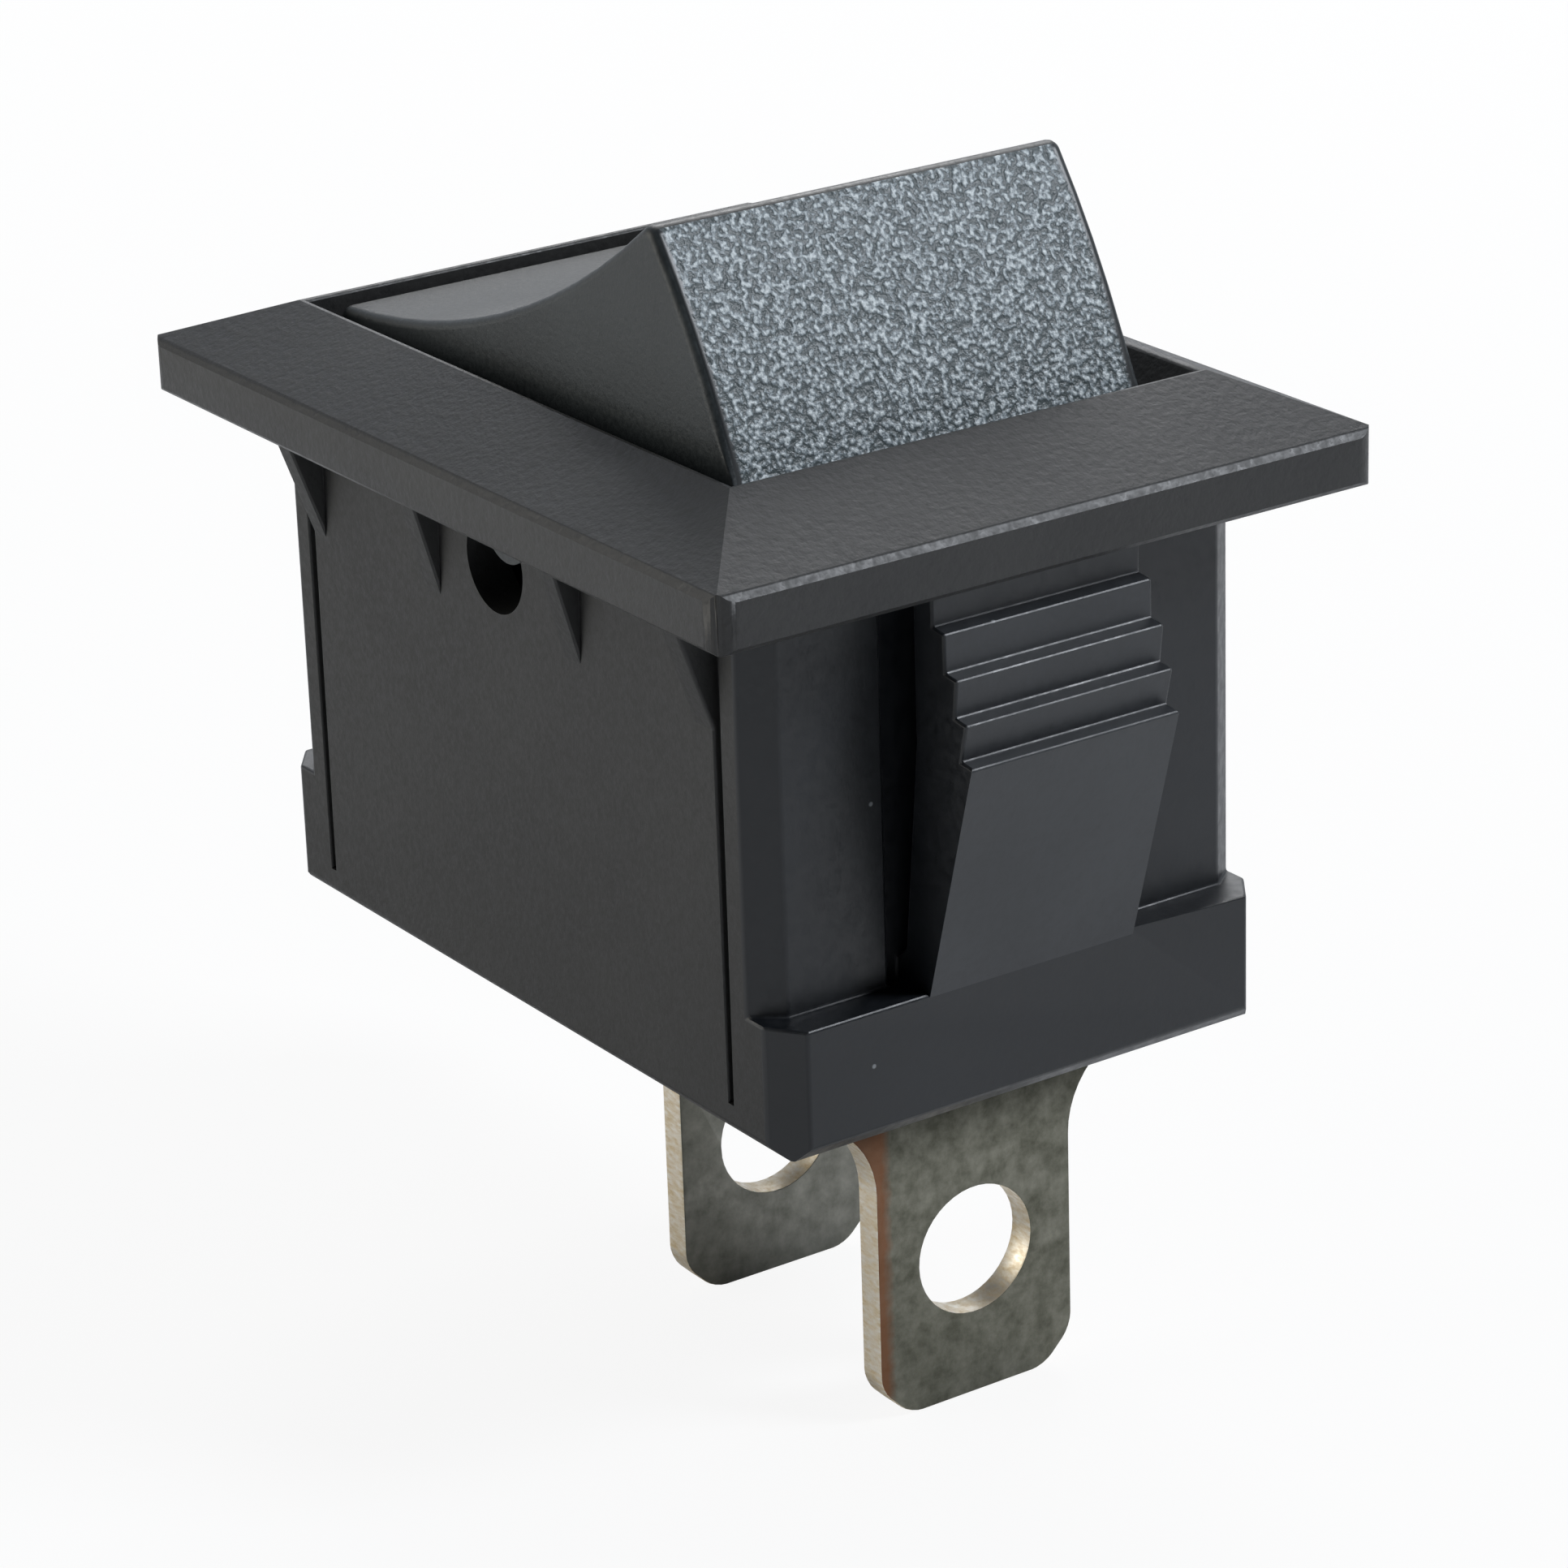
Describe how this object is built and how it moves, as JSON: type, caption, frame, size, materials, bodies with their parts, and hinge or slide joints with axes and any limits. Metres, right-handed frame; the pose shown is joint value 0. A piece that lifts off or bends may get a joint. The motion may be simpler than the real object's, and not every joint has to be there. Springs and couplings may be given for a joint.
{
  "type": "panel rocker switch",
  "caption": "Miniature black snap-in panel rocker switch with a bezel, ratchet latches on both ends and solder terminals.",
  "frame": {"origin": "centre of the panel opening, in the plane of the bezel's underside", "axes": "+Z out of the panel towards the finger, +X along the bezel's long side towards the raised end of the rocker"},
  "size_m": [0.0156, 0.011, 0.0176],
  "materials": {
    "housing_nylon": "fine matte",
    "rocker_nylon": "spark-eroded end faces, matte sides",
    "plunger_nylon": "smooth, natural",
    "spring_steel": "drawn wire",
    "copper_alloy": "rolled strip",
    "contact_silver": "fine silver, satin",
    "plated_brass": "dull tin plate over brass"
  },
  "bodies": {
    "housing_body": {"housing": "housing_nylon", "common_terminal": "plated_brass", "end_terminal": "plated_brass", "fixed_contact": "contact_silver"},
    "rocker_body": {"rocker": "rocker_nylon", "plunger_spring": "spring_steel"},
    "plunger_body": {"plunger": "plunger_nylon"},
    "contact_body": {"contact_bridge": "copper_alloy", "bridge_contact": "contact_silver"}
  },
  "joints": [
    {"name": "rocker_hinge", "type": "hinge", "parent": "housing_body", "child": "rocker_body", "pos_m": [0, 0, -0.00045], "axis": [0, 1, 0], "range_deg": [0, 40]},
    {"name": "contact_tilt", "type": "hinge", "parent": "housing_body", "child": "contact_body", "pos_m": [0, 0, -0.00556], "axis": [0, 1, 0], "range_deg": [-8, 0]},
    {"name": "plunger_slide", "type": "slide", "parent": "rocker_body", "child": "plunger_body", "axis": [-0.342, 0, 0.9397], "range_m": [0, 0.0005], "stiffness_N_per_m": 300, "springref_m": -0.003, "deforming": ["plunger_spring"]}
  ],
  "couplings": [
    {"joint": "contact_tilt", "follows": "rocker_hinge", "ratio": -0.2}
  ]
}
